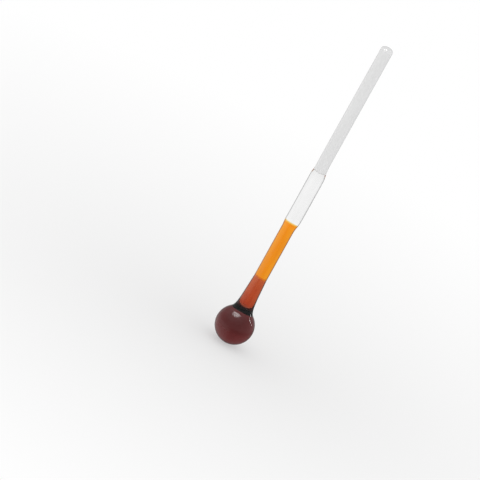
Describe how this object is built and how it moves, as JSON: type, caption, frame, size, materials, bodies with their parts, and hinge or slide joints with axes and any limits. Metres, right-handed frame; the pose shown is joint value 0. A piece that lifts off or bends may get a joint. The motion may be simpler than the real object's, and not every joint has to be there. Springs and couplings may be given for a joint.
{
  "type": "glass stirring rod",
  "caption": "Ball-ended lampworked glass stirring rod: dark red ball and neck, rust and amber stem, thicker clear stem, opal white handle with a rounded end.",
  "frame": {"origin": "lowest point of the ball, on the rod's axis", "axes": "+Z along the rod, from the ball towards the opal handle's round end; the rod is round, so X and Y are free"},
  "size_m": [0.017, 0.017, 0.1489],
  "materials": {
    "wine_glass": "fire-polished dark wine-red soda-lime glass, nearly opaque at the ball's thickness",
    "rust_glass": "fire-polished transparent rust-red glass",
    "amber_glass": "fire-polished transparent amber glass",
    "clear_glass": "fire-polished clear glass",
    "opal_glass": "fire-polished opal white glass, milky and slightly translucent"
  },
  "bodies": {
    "root": {"ball": "wine_glass", "rust_section": "rust_glass", "amber_section": "amber_glass", "clear_section": "clear_glass", "opal_handle": "opal_glass"}
  },
  "joints": []
}
